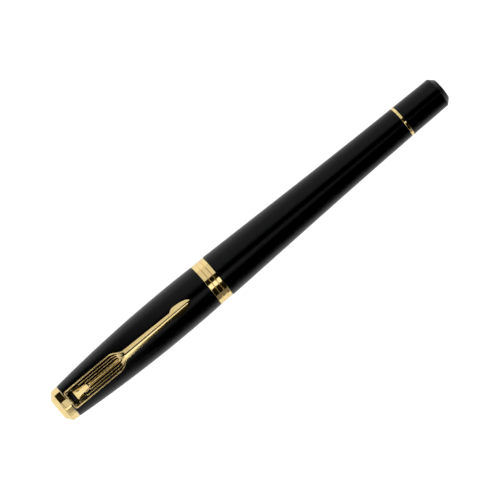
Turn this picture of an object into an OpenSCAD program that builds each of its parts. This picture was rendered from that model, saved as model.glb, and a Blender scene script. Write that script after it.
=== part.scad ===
// Capped rollerball pen, lying along X with its cap towards -X and its clip upwards.
// Every length along the pen is a station: the distance in mm from the crown's face.
// Outlines of turned pieces are lists of [radius, station].

/* [Overall] */
// Closed length, from the crown's face to the tail's face
pen_l = 134; // [133.5:0.5:137]
// Radius of the cap where it is fullest
cap_full_r = 6.63; // [6.60:0.01:6.75]
// Station where the cap is fullest
cap_full_s = 39; // [38:0.5:40]

/* [Cap] */
// Length of the bevelled crown above the clip ring
crown_l = 1.45; // [1.2:0.05:1.6]
// Radius of the crown's flat face
crown_face_r = 3.45; // [3.0:0.05:3.6]
// Station of the rear face of the clip ring
ring_end_s = 3.5; // [3.3:0.1:3.6]
// Outside radius of the clip ring at its rear, where it meets the shell
ring_r = 5.03; // [5.00:0.01:5.08]
// Outside radius of the clip ring at its front, beside the crown
ring_front_r = 4.91; // [4.84:0.01:4.95]
// Station where the lacquered shell meets the cap band
shell_end_s = 51.45; // [51.3:0.05:51.6]
// Station of the cap's open end
cap_end_s = 55.5; // [55.3:0.05:55.5]
// Wall of the cap's metal shell
shell_wall = 0.65; // [0.5:0.05:0.7]

/* [Clip] */
// Station of the free end of the clip
clip_tip_s = 45.4; // [45:0.1:46.5]
// Half width of the clip's openwork panel
panel_half_w = 2.8; // [2.6:0.1:2.9]
// Thickness of the clip's plate
clip_t = 0.75; // [0.6:0.05:0.8]
// Height of the clip's top above the pen's axis, where it is highest
clip_top_h = 8.1; // [8.0:0.05:8.2]
// Length of the pad at the clip's free end, from its widest place to its tip
pad_l = 4.9; // [4.5:0.1:5.2]
// Half width of that pad
pad_half_w = 1.6; // [1.4:0.1:1.7]

/* [Barrel] */
// Radius of the barrel's open end
barrel_mouth_r = 6.42; // [6.38:0.01:6.45]
// Fall in radius for each mm along the barrel's straight part
barrel_slope = 0.0318; // [0.031:0.0001:0.032]
// Station where the barrel's outline begins to curve
barrel_bend_s = 84; // [82:1:86]
// Station of the front face of the thin tail ring
tail_ring_s = 119.8; // [119:0.1:120]
// Length of the thin tail ring
tail_ring_l = 0.8; // [0.6:0.1:1.0]
// Length of the bevel at the tail's end
tail_bevel = 1.45; // [1.1:0.05:1.5]

/* [Refill] */
// Length of the refill, ball to plug
refill_l = 111; // [110:0.1:111]
// Radius of the refill's metal tube
refill_r = 3.0; // [2.9:0.05:3.0]
// Station of the front of the writing ball
ball_front_s = 14; // [14:0.1:14.5]
// Radius of the writing ball
ball_r = 0.35; // [0.30:0.01:0.35]

/* [Thread] */
// Pitch of the section's thread
thread_pitch = 0.75; // [0.75:0.05:0.8]
// Major radius of the section's thread
thread_r = 4.4; // [4.35:0.01:4.42]
// Number of threads cut
thread_turns = 7; // [6:1:7]

/* [Hidden] */
$fn = 96;

axis_h = cap_full_r;              // the fullest part of the cap rests at z = 0
fit = 0.05;                       // gap between pieces that are fitted together
free = 0.10;                      // gap beside a piece that moves
outline_step = 1.2;               // spacing of the points along a curved outline
arc_points = 7;                   // points on a rounded corner

// Cap: one long arc, drawn as its parabola, through the crown, the fullest place and the lip
cap_top_r = 5.0;                  // radius of the shell beside the clip ring
cap_curve = (cap_full_r - cap_top_r) / pow(cap_full_s - ring_end_s, 2);
shell_start_s = ring_end_s + fit;
shell_roof = 1.0;                 // thickness of the shell's closed end
shell_bore_r = 5.63;              // bore of the shell beside its open end
shell_bore_l = 0.9;               // length of that bore above the band
band_seat_r = 5.95;               // radius of the shell where the band is pressed on
band_r = 6.42;
band_lip_s = cap_end_s - 0.8;     // the band's lip closes the end of the shell and liner
band_lip_r = 5.64;
band_groove_w = 0.22;
band_groove_d = 0.16;
band_grooves = [52.86, 54.25];

// Inner cap, the plastic liner
liner_max_r = 5.55;
liner_roof_end_s = 5.7;
liner_chamber_r = 3.45;           // the chamber around the tip
liner_seal_s = 17.9;              // the cone from here closes round the nose
liner_seal_end_s = 19.1;
liner_seal_end_r = 4.08;
liner_waist_r = 4.62;             // clear of the front of the grip
liner_waist_end_s = 28;
liner_mouth_r = 5.15;
detent_r = 5.33;                  // groove that the snap ring clicks into

// Crown and the screw that holds it
crown_bevel_r = 0.5;              // rounding between the crown's face and its bevel
crown_edge_r = ring_front_r - 0.04;  // radius of the bevel's lower edge
crown_edge_l = 0.12;              // length of the small chamfer at that edge
ring_edge = 0.1;                  // chamfer at the clip ring's edges
spigot_r = 2.6;                   // the crown's spigot passes through the ring into the shell
spigot_end_s = ring_end_s + 0.7;
screw_r = 1.25;
screw_head_r = 2.3;
screw_head_l = 1.3;
screw_tip_s = 1.0;
screw_slot_w = 0.6;
screw_slot_d = 0.9;
chamfer = 0.3;                    // chamfer on the turned pieces inside the pen
washer_l = 0.3;

// Clip
panel_s = 3.8;                    // front edge of the panel
panel_corner = 0.6;
panel_taper_s = 19.4;             // the panel narrows from here
shank_s = 23.2;                   // and is the shank from here
shank_half_w = 1.28;
shank_end_half_w = 0.9;
clip_top_s = 30;                  // where the clip's top is highest
clip_bow = 0.0017;                // how fast its top falls away, per mm squared
frame_w = 0.36;                   // width of the panel's frame
spine_half_w = 0.5;               // half width of the bar down the panel's middle
rail_w = 0.18;                    // width of each thin rail between the slots
slots_a_side = 3;
slot_starts = [10.0, 8.35, 6.7];  // from the spine outwards, so that a tapered web is left
slot_end_s = 20.9;
root_window_s = 4.4;
root_window_end_s = 5.9;
root_window_half_w = 1.9;
ridge_half_w = 0.35;
ridge_h = 0.28;
ridge_s = 5.9;
pad_s = clip_tip_s - pad_l;       // where the pad is widest
pad_swell_l = 1.8;                // it swells out of the shank over this length
foot_s = clip_tip_s - 2.9;        // the foot under the pad, which touches the cap
foot_gap = 0.07;
neck_half_w = 1.0;
neck_s = 1.85;
neck_end_s = 3.35;
neck_foot_h = 3.75;
neck_shoulder_h = 5.2;            // its front slopes back from here up to the panel
notch_floor_h = neck_foot_h - free;

// Section: what the hand holds
nose_s = 16.8;
nose_hole_r = 1.5;                // the hole that the writing tip comes through
nose_face_r = 2.6;
nose_edge_r = 3.85;               // radius of the nose beside the grip
nose_throat_s = 17.6;             // the hole widens from here
nose_bore_s = 18.3;               // to the bore from here
nose_bore_r = 2.3;
nose_spigot_r = 3.0;              // pressed into the front of the grip
nose_spigot_l = 2.0;
grip_s = 19.2;
grip_end_s = 54.6;
section_end_s = 55.55;
grip_front_r = 3.9;
grip_rear_r = 5.0;
grip_full_s = 44;                 // the grip's waist ends here
grip_throat_r = 2.35;
grip_step_s = 23.4;               // the refill's shoulder stops against the cone from here
grip_step_l = 0.7;
snap_s = 46.6;
snap_l = 0.8;
snap_groove_r = 4.65;
snap_gap_w = 2.4;                 // gap between the ends of the snap ring
coupling_s = 46.2;
coupling_r = 3.85;
coupling_bore_r = refill_r + 0.12;
collar_r = coupling_r + 0.1;      // the coupling's neck, where the O-ring sits
section_ring_r = grip_rear_r + 0.08;
thread_s = 56.8;
thread_depth = 0.42;
thread_end_s = thread_s + thread_turns * thread_pitch;
o_ring_s = 56.25;
o_ring_wire_r = 0.26;

// Barrel
barrel_s = 55.6;
barrel_curve = 0.000196;          // how fast the slope falls past the bend, per mm squared
bend_r = barrel_mouth_r + 0.02 - barrel_slope * (barrel_bend_s - barrel_s);
barrel_wall = 0.75;
bush_s = 56.0;
bush_end_s = 66;
bush_r = 5.4;
bush_bore_r = thread_r + 0.08;
bush_mouth = 0.25;                // chamfer at the mouth of its bore
barrel_lip = 0.15;                // rounding of the barrel's open end
tail_spigot_s = 113.5;
tail_spigot_r = 3.9;
tail_s = tail_ring_s + tail_ring_l;
tail_bore_r = 3.35;
tail_floor = 2.0;
tail_face_r = 3.15;
seat_s = pen_l - tail_floor;      // floor of the tail's bore
seat_l = 0.8;
seat_pin_r = 1.35;
seat_pin_l = 2.2;

// Refill
refill_end_s = ball_front_s + refill_l;
ball_s = ball_front_s + ball_r;
socket_gap = 0.02;
tip_rim_s = ball_s - 0.13;
tip_rim_r = 0.43;
tip_cone_end_s = 16.6;
tip_cone_r = 0.55;                // radius a little way up the cone
tip_cone_l = 0.7;
tip_r = 1.15;
tip_end_s = 20.6;
ink_hole_r = 0.22;
feed_r = 0.6;
feed_s = 15.7;
feed_end_s = 34;
tube_s = 24.2;
tube_wall = 0.2;
tube_inside_r = refill_r - tube_wall;
tube_mouth_r = 2.35;              // the tube is drawn in to this at its front
tube_shoulder = 0.4;              // length of the rounded shoulder
nose_block_s = 18.6;              // the moulded piece that holds the tip
nose_block_r = 2.0;
nose_block_end_s = 22.2;
nose_collar_s = 22.6;
nose_collar_r = 2.25;
tube_end_s = refill_end_s - 3.4;
reservoir_s = 28;
reservoir_end_s = 112;
plug_l = 5.0;                     // length of the plug inside the tube
plug_tail_r = 1.5;
spring_wire_r = 0.2;
spring_r = 2.45;
spring_turns = 7;
spring_rings = 14;                // rings of the wire in each turn
spring_sides = 8;
spring_s = tube_end_s + 0.6;

// ---- outlines -------------------------------------------------------------------------------

function cap_r(s) = cap_full_r - cap_curve * pow(s - cap_full_s, 2);

function barrel_r(s) =
    bend_r - barrel_slope * (s - barrel_bend_s)
    + (s > barrel_bend_s ? barrel_curve * pow(s - barrel_bend_s, 2) : 0);

function liner_r(s) = min(cap_r(s) - shell_wall - free, liner_max_r);

function grip_r(s) =
    grip_front_r + (grip_rear_r - grip_front_r) * sin(90 * (s - grip_s) / (grip_full_s - grip_s));

function clip_top(s) = clip_top_h - clip_bow * pow(s - clip_top_s, 2);

// Stations from a to b, evenly spaced, both ends included
function stations(a, b) =
    let (n = ceil(abs(b - a) / outline_step))
    [for (i = [0:n]) a + (b - a) * i / n];

// A rounded corner: points on the arc about c, from angle a to angle b
function arc(c, r, a, b) =
    [for (i = [0:arc_points - 1])
        let (t = a + (b - a) * i / (arc_points - 1))
        c + r * [cos(t), sin(t)]];

// Outline of a straight ring with its outer corners cut by e
function ring_outline(r_in, r_out, s0, s1, e) =
    [[r_in, s0], [r_out - e, s0], [r_out, s0 + e], [r_out, s1 - e], [r_out - e, s1], [r_in, s1]];

// Half width where the clip's panel narrows to its shank
function panel_taper(s) =
    let (u = (s - panel_taper_s) / (shank_s - panel_taper_s))
    shank_half_w + (panel_half_w - shank_half_w) * (1 + cos(180 * u)) / 2;

// Half width of the clip's plan at a station
function clip_half_w(s) =
    s < panel_taper_s ? panel_half_w
    : s < shank_s ? panel_taper(s)
    : shank_half_w + (shank_end_half_w - shank_half_w)
        * (s - shank_s) / (pad_s - shank_s);

// Width of one slot of the panel at a station, and where slot k begins
function slot_w(s) =
    (clip_half_w(s) - frame_w - spine_half_w - (slots_a_side - 1) * rail_w) / slots_a_side;

function slot_edge(s, k) = spine_half_w + k * (slot_w(s) + rail_w);

// ---- helpers --------------------------------------------------------------------------------

// Puts a turned or drawn piece on the pen's axis
module on_axis() {
    translate([-pen_l / 2, 0, axis_h]) children();
}

// Turns an outline of [radius, station] about the pen's axis
module turned(outline) {
    on_axis() rotate([0, 90, 0]) rotate_extrude() polygon(outline);
}

// A drawing seen from the side, of [station, height], as thick as w and centred on y = 0
module side_slab(outline, w) {
    on_axis() rotate([90, 0, 0]) linear_extrude(w, center = true) polygon(outline);
}

// A drawing seen from above, of [station, y], reaching from height h0 to h1
module plan_slab(outline, h0, h1) {
    on_axis() translate([0, 0, h0]) linear_extrude(h1 - h0) polygon(outline);
}

// The same outline on the other side of the clip
function mirrored(outline) =
    [for (i = [len(outline) - 1:-1:0]) [outline[i][0], -outline[i][1]]];

// ---- cap ------------------------------------------------------------------------------------

module crown() {
    color("gold") turned(concat(
        [[0, 0]],
        arc([crown_face_r - crown_bevel_r, crown_bevel_r], crown_bevel_r, -90, -45),
        [[crown_edge_r - crown_edge_l / 2, crown_l - crown_edge_l], [crown_edge_r, crown_l],
         [spigot_r, crown_l], [spigot_r, spigot_end_s], [screw_r + fit, spigot_end_s],
         [screw_r + fit, screw_tip_s - fit], [0, screw_tip_s - fit]]
    ));
}

module crown_screw() {
    head_s = liner_roof_end_s + washer_l;
    head_end_s = head_s + screw_head_l;
    color("silver") difference() {
        turned([[0, screw_tip_s], [screw_r - chamfer, screw_tip_s], [screw_r, screw_tip_s + chamfer],
                [screw_r, head_s], [screw_head_r, head_s], [screw_head_r, head_end_s - chamfer],
                [screw_head_r - chamfer, head_end_s], [0, head_end_s]]);
        on_axis() translate([head_end_s, 0, 0])
            cube([2 * screw_slot_d, screw_slot_w, 2 * screw_head_r + 1], center = true);
    }
}

module screw_washer() {
    color("silver") turned(ring_outline(screw_r + free, screw_head_r + 0.4,
        liner_roof_end_s, liner_roof_end_s + washer_l, 0.05));
}

module clip_ring() {
    notch_w = 2 * (neck_half_w + free);
    color("gold") difference() {
        turned([[spigot_r + fit, crown_l], [ring_front_r - ring_edge, crown_l],
            [ring_front_r, crown_l + ring_edge], [ring_r, ring_end_s - ring_edge],
            [ring_r - ring_edge, ring_end_s], [spigot_r + fit, ring_end_s]]);
        on_axis() translate([neck_s - free, -notch_w / 2, notch_floor_h]) cube([2, notch_w, 3]);
    }
}

module cap_shell() {
    outer = [for (s = stations(shell_start_s, shell_end_s)) [cap_r(s), s]];
    inner = [for (s = stations(shell_end_s - 1.2, shell_start_s + shell_roof))
        [cap_r(s) - shell_wall, s]];
    color("#141414") turned(concat(
        [[spigot_r + fit, shell_start_s]],
        outer,
        [[band_seat_r, shell_end_s], [band_seat_r, band_lip_s], [shell_bore_r, band_lip_s],
         [shell_bore_r, shell_end_s - shell_bore_l]],
        inner,
        [[spigot_r + fit, shell_start_s + shell_roof]]
    ));
}

module inner_cap() {
    top_s = shell_start_s + shell_roof + 0.02;
    outer = [for (s = stations(top_s, band_lip_s)) [liner_r(s), s]];
    color("dimgray") turned(concat(
        [[screw_r + free, top_s]],
        outer,
        [[liner_mouth_r, band_lip_s], [liner_mouth_r, snap_s + snap_l + 0.4],
         [detent_r, snap_s + snap_l + 0.1], [detent_r, snap_s - 0.1],
         [liner_mouth_r, snap_s - 0.4], [liner_mouth_r, liner_waist_end_s + 1],
         [liner_waist_r, liner_waist_end_s], [liner_waist_r, liner_seal_end_s + 0.6],
         [liner_seal_end_r, liner_seal_end_s], [liner_chamber_r, liner_seal_s],
         [liner_chamber_r, liner_roof_end_s], [screw_r + free, liner_roof_end_s]]
    ));
}

module cap_band() {
    grooves = [for (g = [len(band_grooves) - 1:-1:0]) each [
        [band_r, band_grooves[g] + band_groove_w / 2],
        [band_r - band_groove_d, band_grooves[g]],
        [band_r, band_grooves[g] - band_groove_w / 2]]];
    color("gold") turned(concat(
        [[band_seat_r + 0.02, shell_end_s], [band_seat_r + 0.02, band_lip_s + 0.02],
         [band_lip_r, band_lip_s + 0.02], [band_lip_r, cap_end_s], [band_r - 0.1, cap_end_s],
         [band_r, cap_end_s - 0.1]],
        grooves,
        [[band_r, shell_end_s + 0.06], [band_r - 0.06, shell_end_s]]
    ));
}

// ---- clip -----------------------------------------------------------------------------------

// The plan of the panel and shank, without its windows
module clip_plan(h0, h1) {
    corner = arc([panel_s + panel_corner, panel_half_w - panel_corner], panel_corner, 180, 90);
    edge = [for (s = stations(panel_s + panel_corner + 0.1, pad_s)) [s, clip_half_w(s)]];
    half = concat(corner, edge);
    plan_slab(concat(half, mirrored(half)), h0, h1);
}

// The drop-shaped pad at the free end
module clip_pad(h0, h1) {
    plan_slab([for (a = [0:12:348])
        [pad_s + (cos(a) > 0 ? pad_l : pad_swell_l) * cos(a), pad_half_w * sin(a)]], h0, h1);
}

// The slots on both sides of the spine, and the small window behind the neck
module clip_windows(h0, h1) {
    for (k = [0:slots_a_side - 1]) {
        cut_s = stations(slot_starts[k], slot_end_s);
        slot = concat([for (s = cut_s) [s, slot_edge(s, k)]],
            [for (i = [len(cut_s) - 1:-1:0]) [cut_s[i], slot_edge(cut_s[i], k) + slot_w(cut_s[i])]]);
        plan_slab(slot, h0, h1);
        plan_slab(mirrored(slot), h0, h1);
    }
    root = [[root_window_s, root_window_half_w], [root_window_end_s, root_window_half_w]];
    plan_slab(concat(root, mirrored(root)), h0, h1);
}

// A slab that follows the clip's bowed top, from below it to above it
module clip_bowed(s0, s1, below, above, w) {
    s = stations(s0, s1);
    side_slab(concat([for (x = s) [x, clip_top(x) + above]],
        [for (i = [len(s) - 1:-1:0]) [s[i], clip_top(s[i]) - below]]), w);
}

// The neck that rises from the clip ring's notch and turns over into the panel
module clip_neck() {
    top = clip_top(panel_s);
    under = top - clip_t;
    side_slab([[neck_s, neck_foot_h], [neck_end_s, neck_foot_h], [neck_end_s, under - 0.2],
        [neck_end_s + 0.3, under], [panel_s + 0.4, under], [panel_s + 0.4, top],
        [neck_end_s, top - 0.05], [neck_s, neck_shoulder_h]], 2 * neck_half_w);
}

module clip_foot() {
    foot_h = cap_r(foot_s) + foot_gap;
    on_axis() translate([foot_s, 0, foot_h])
        cylinder(h = clip_top(foot_s) - foot_h - 0.2, r1 = 0.45, r2 = 0.9);
}

module clip() {
    low = clip_top(panel_s) - 2 * clip_t;
    high = clip_top_h + 1;
    color("gold") {
        difference() {
            union() {
                intersection() {
                    clip_bowed(panel_s - 0.5, clip_tip_s + 1, clip_t, 0, 2 * panel_half_w + 1);
                    union() {
                        clip_plan(low, high);
                        clip_pad(low, high);
                    }
                }
                clip_bowed(ridge_s, clip_tip_s - 1.2, clip_t / 2, ridge_h, 2 * ridge_half_w);
                clip_neck();
            }
            clip_windows(low, high);
        }
        clip_foot();
    }
}

// ---- section --------------------------------------------------------------------------------

module snap_ring() {
    color("silver") difference() {
        turned(ring_outline(snap_groove_r + 0.03, liner_mouth_r - fit - 0.02,
            snap_s, snap_s + snap_l, 0.12));
        on_axis() translate([snap_s + snap_l / 2, 0, -grip_rear_r])
            cube([2, snap_gap_w, 2], center = true);
    }
}

module grip() {
    waist = [for (s = stations(grip_s, grip_full_s)) [grip_r(s), s]];
    socket_r = nose_spigot_r + fit;
    socket_end_s = grip_s + nose_spigot_l + free;
    color("#1a1a1a") turned(concat(
        [[socket_r, grip_s]],
        waist,
        [[grip_rear_r, snap_s - free], [snap_groove_r, snap_s - free],
         [snap_groove_r, snap_s + snap_l + free], [grip_rear_r, snap_s + snap_l + free],
         [grip_rear_r, grip_end_s], [coupling_r + fit, grip_end_s],
         [coupling_r + fit, coupling_s - fit], [refill_r + free, coupling_s - fit],
         [refill_r + free, grip_step_s + grip_step_l], [grip_throat_r, grip_step_s],
         [grip_throat_r, socket_end_s], [socket_r, socket_end_s]]
    ));
}

module nose_cone() {
    spigot_end = grip_s + nose_spigot_l;
    color("gold") turned([[nose_hole_r, nose_s + 0.15], [nose_hole_r + 0.15, nose_s],
        [nose_face_r, nose_s], [nose_face_r + 0.25, nose_s + 0.2],
        [nose_edge_r, grip_s - chamfer], [nose_edge_r, grip_s], [nose_spigot_r, grip_s],
        [nose_spigot_r, spigot_end], [nose_bore_r, spigot_end], [nose_bore_r, nose_bore_s],
        [nose_hole_r, nose_throat_s]]);
}

module section_ring() {
    color("gold") turned(ring_outline(coupling_r + fit, section_ring_r,
        grip_end_s, section_end_s, 0.12));
}

module thread_coupling() {
    root_r = thread_r - thread_depth;
    ridges = [for (i = [0:thread_turns - 1]) each [
        [root_r, thread_s + (i + 0.12) * thread_pitch],
        [thread_r, thread_s + (i + 0.44) * thread_pitch],
        [thread_r, thread_s + (i + 0.56) * thread_pitch],
        [root_r, thread_s + (i + 0.88) * thread_pitch]]];
    color("goldenrod") turned(concat(
        [[coupling_bore_r, coupling_s], [coupling_r - 0.15, coupling_s],
         [coupling_r, coupling_s + 0.15], [coupling_r, section_end_s + 0.1],
         [collar_r, section_end_s + 0.1], [collar_r, thread_s]],
        ridges,
        [[root_r, thread_end_s], [root_r - 0.2, thread_end_s + chamfer],
         [coupling_bore_r, thread_end_s + chamfer]]
    ));
}

module thread_o_ring() {
    color("black") on_axis() rotate([0, 90, 0]) translate([0, 0, o_ring_s]) rotate_extrude()
        translate([collar_r + o_ring_wire_r, 0]) circle(r = o_ring_wire_r, $fn = 32);
}

// ---- refill ---------------------------------------------------------------------------------

module refill_tube() {
    color("lightgray") turned([[tube_inside_r, tube_s + tube_shoulder], [tube_mouth_r, tube_s],
        [refill_r - 0.25, tube_s], [refill_r, tube_s + tube_shoulder],
        [refill_r, tube_end_s - chamfer], [refill_r - 0.15, tube_end_s],
        [tube_inside_r, tube_end_s]]);
}

module refill_nose() {
    inside = tube_inside_r - fit;
    step_s = tube_s + tube_shoulder + 0.1;
    color("dimgray") turned([[tip_r + fit / 2, nose_block_s], [nose_block_r - 0.25, nose_block_s],
        [nose_block_r, nose_block_s + chamfer], [nose_block_r, nose_block_end_s],
        [nose_collar_r, nose_collar_s], [nose_collar_r, step_s], [inside, step_s],
        [inside, reservoir_s - 0.2], [feed_r + fit, reservoir_s - 0.2],
        [feed_r + fit, tip_end_s + fit], [tip_r + fit / 2, tip_end_s + fit]]);
}

module writing_tip() {
    color("silver") difference() {
        turned([[0, tip_rim_s], [tip_rim_r, tip_rim_s], [tip_cone_r, tip_rim_s + tip_cone_l],
            [tip_r, tip_cone_end_s], [tip_r, tip_end_s], [0, tip_end_s]]);
        on_axis() translate([ball_s, 0, 0]) sphere(r = ball_r + socket_gap);
        turned([[0, ball_s], [ink_hole_r, ball_s], [ink_hole_r, feed_s - chamfer],
            [feed_r + fit, feed_s - fit],
            [feed_r + fit, tip_end_s + 1], [0, tip_end_s + 1]]);
    }
}

module writing_ball() {
    color("silver") on_axis() translate([ball_s, 0, 0]) sphere(r = ball_r);
}

module ink_feed() {
    color("white") turned([[0, feed_s], [feed_r - chamfer, feed_s], [feed_r, feed_s + 0.5],
        [feed_r, feed_end_s - 0.5], [0, feed_end_s]]);
}

module ink_reservoir() {
    r = tube_inside_r - free;
    color("midnightblue") turned([[feed_r + fit, reservoir_s], [r - chamfer, reservoir_s],
        [r, reservoir_s + chamfer], [r, reservoir_end_s - chamfer], [r - chamfer, reservoir_end_s],
        [0, reservoir_end_s], [0, feed_end_s + fit], [feed_r + fit, feed_end_s + fit]]);
}

module refill_plug() {
    inside = tube_inside_r - fit;
    plug_s = tube_end_s - plug_l;
    flange_end_s = tube_end_s + 0.5;
    color("dimgray") turned([[0, plug_s], [inside - chamfer, plug_s], [inside, plug_s + chamfer],
        [inside, tube_end_s + fit], [refill_r - 0.15, tube_end_s + fit],
        [refill_r - 0.15, flange_end_s], [plug_tail_r, flange_end_s],
        [plug_tail_r, refill_end_s - chamfer], [plug_tail_r - chamfer, refill_end_s],
        [0, refill_end_s]]);
}

// ---- spring ---------------------------------------------------------------------------------

// A ring of the spring's wire at turn t, and the wire as one closed surface
function wire_ring(t, s, r, wire) =
    [for (k = [0:spring_sides - 1])
        let (a = 360 * k / spring_sides, out = r + wire * cos(a))
        [s + wire * sin(a), out * cos(360 * t), out * sin(360 * t)]];

// Station along the spring, with its first and last turn closed up
function spring_at(t, length) =
    let (closed = 2 * spring_wire_r + 0.05, middle = length - 2 * closed - 2 * spring_wire_r)
    spring_wire_r + (t < 1 ? closed * t
        : t > spring_turns - 1 ? closed + middle + closed * (t - spring_turns + 1)
        : closed + middle * (t - 1) / (spring_turns - 2));

module refill_spring() {
    length = seat_s - seat_l - spring_s - 2 * fit;
    steps = spring_turns * spring_rings;
    points = [for (i = [0:steps]) each
        wire_ring(i / spring_rings, spring_s + fit + spring_at(i / spring_rings, length),
            spring_r, spring_wire_r)];
    sides = [for (i = [0:steps - 1]) for (k = [0:spring_sides - 1])
        let (a = i * spring_sides, b = a + spring_sides, n = (k + 1) % spring_sides)
        [a + k, a + n, b + n, b + k]];
    first = [for (k = [spring_sides - 1:-1:0]) k];
    last = [for (k = [0:spring_sides - 1]) steps * spring_sides + k];
    color("silver") on_axis() polyhedron(points, concat([first], sides, [last]), convexity = 12);
}

module spring_seat() {
    pin_s = seat_s - seat_l - seat_pin_l;
    rim_r = tail_bore_r - free;
    color("dimgray") turned([[0, pin_s], [seat_pin_r - chamfer, pin_s], [seat_pin_r, pin_s + chamfer],
        [seat_pin_r, seat_s - seat_l], [rim_r, seat_s - seat_l], [rim_r, seat_s - 0.2],
        [rim_r - 0.2, seat_s], [0, seat_s]]);
}

// ---- barrel ---------------------------------------------------------------------------------

module barrel_tube() {
    outer = [for (s = stations(barrel_s + barrel_lip, tail_ring_s)) [barrel_r(s), s]];
    inner = [for (s = stations(tail_spigot_s, bush_end_s + chamfer)) [barrel_r(s) - barrel_wall, s]];
    color("#141414") turned(concat(
        [[bush_r + fit, barrel_s], [barrel_r(barrel_s) - barrel_lip, barrel_s]],
        outer,
        [[tail_spigot_r + fit, tail_ring_s], [tail_spigot_r + fit, tail_spigot_s]],
        inner,
        [[bush_r - 0.15, bush_end_s + 0.1], [bush_r + fit, bush_end_s + 0.1]]
    ));
}

module barrel_bush() {
    color("goldenrod") turned([[bush_bore_r + bush_mouth, bush_s], [bush_r, bush_s],
        [bush_r, bush_end_s], [bush_bore_r, bush_end_s], [bush_bore_r, bush_s + bush_mouth]]);
}

module tail_ring() {
    color("gold") turned(ring_outline(tail_spigot_r + fit, barrel_r(tail_ring_s) + 0.04,
        tail_ring_s, tail_s, 0.06));
}

module tail_piece() {
    bevel_s = pen_l - tail_bevel;
    outer = [for (s = stations(tail_s + 0.08, bevel_s)) [barrel_r(s), s]];
    color("#141414") turned(concat(
        [[tail_bore_r, tail_spigot_s + 0.3], [tail_spigot_r - 0.2, tail_spigot_s + 0.3],
         [tail_spigot_r, tail_spigot_s + 0.5], [tail_spigot_r, tail_s],
         [barrel_r(tail_s) - 0.08, tail_s]],
        outer,
        arc([tail_face_r - 0.2, pen_l - 0.2], 0.2, 45, 90),
        [[0, pen_l], [0, seat_s], [tail_bore_r, seat_s]]
    ));
}

// ---- nodes ----------------------------------------------------------------------------------

crown();
crown_screw();
screw_washer();
clip_ring();
cap_shell();
inner_cap();
cap_band();
clip();
snap_ring();
grip();
nose_cone();
section_ring();
thread_coupling();
thread_o_ring();
refill_tube();
refill_nose();
writing_tip();
ink_feed();
ink_reservoir();
refill_plug();
writing_ball();
refill_spring();
spring_seat();
barrel_tube();
barrel_bush();
tail_ring();
tail_piece();
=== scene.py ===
import math

import bmesh
import bpy
from mathutils import Matrix, Vector


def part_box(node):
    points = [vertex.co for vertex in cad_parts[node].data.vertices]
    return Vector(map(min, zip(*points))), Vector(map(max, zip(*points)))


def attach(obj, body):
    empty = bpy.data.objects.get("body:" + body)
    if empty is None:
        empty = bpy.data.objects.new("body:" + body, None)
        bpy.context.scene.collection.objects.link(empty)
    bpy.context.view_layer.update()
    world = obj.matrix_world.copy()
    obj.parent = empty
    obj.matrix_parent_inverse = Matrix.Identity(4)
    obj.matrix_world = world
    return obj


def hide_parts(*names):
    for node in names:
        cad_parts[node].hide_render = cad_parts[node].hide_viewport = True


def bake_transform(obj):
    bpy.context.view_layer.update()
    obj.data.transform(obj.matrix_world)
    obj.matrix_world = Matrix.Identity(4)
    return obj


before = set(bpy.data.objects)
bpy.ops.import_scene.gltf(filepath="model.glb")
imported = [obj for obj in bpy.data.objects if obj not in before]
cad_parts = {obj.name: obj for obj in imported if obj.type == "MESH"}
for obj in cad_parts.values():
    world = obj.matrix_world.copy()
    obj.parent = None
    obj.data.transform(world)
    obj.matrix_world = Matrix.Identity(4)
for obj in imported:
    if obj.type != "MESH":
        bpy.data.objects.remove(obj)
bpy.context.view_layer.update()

# The pen lies along X with its cap towards -X and its clip upwards. Lengths along it are
# stations: the distance in millimetres from the crown's face. Outlines of turned pieces are
# lists of (radius, station, rounding of that corner), in millimetres.

MM = 0.001
PEN_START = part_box("crown")[0].x
AXIS_Z = (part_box("cap_shell")[0].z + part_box("cap_shell")[1].z) / 2


# ---- where the CAD nodes begin and end ---------------------------------------------------------

def station(x):
    return (x - PEN_START) / MM


def front(node):
    return station(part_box(node)[0].x)


def back(node):
    return station(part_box(node)[1].x)


def radius(node):
    low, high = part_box(node)
    return (high.y - low.y) / 2 / MM


def place(s, y, h):
    """A point in metres, from its station, its side offset and its height above the axis."""
    return (PEN_START + s * MM, y * MM, AXIS_Z + h * MM)


# ---- sizes that the boxes don't give ------------------------------------------------------------

FIT = 0.05                      # gap between pieces that are fitted together
FREE = 0.10                     # gap beside a piece that moves

PEN_L = back("tail_piece")
CAP_FULL_R = radius("cap_shell")
CAP_FULL_S = 39.0
RING_S, RING_END_S = front("clip_ring"), back("clip_ring")
RING_R = radius("clip_ring")
RING_FRONT_R = 4.91
CAP_TOP_R = 5.0
CAP_CURVE = (CAP_FULL_R - CAP_TOP_R) / (CAP_FULL_S - RING_END_S) ** 2
SHELL_S = front("cap_shell")
SHELL_ROOF = 1.0
SHELL_WALL = 0.65
SHELL_BORE_R = 5.63
BAND_S, BAND_END_S = front("cap_band"), back("cap_band")
BAND_R = radius("cap_band")
BAND_SEAT_R = 5.95
BAND_LIP_R = 5.64
BAND_LIP_S = back("cap_shell")
BAND_GROOVES = (54.25, 52.86)   # stations of the grooves between the band's three rings
GROOVE_DEPTH = 0.16
SPIGOT_R = 2.6

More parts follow.
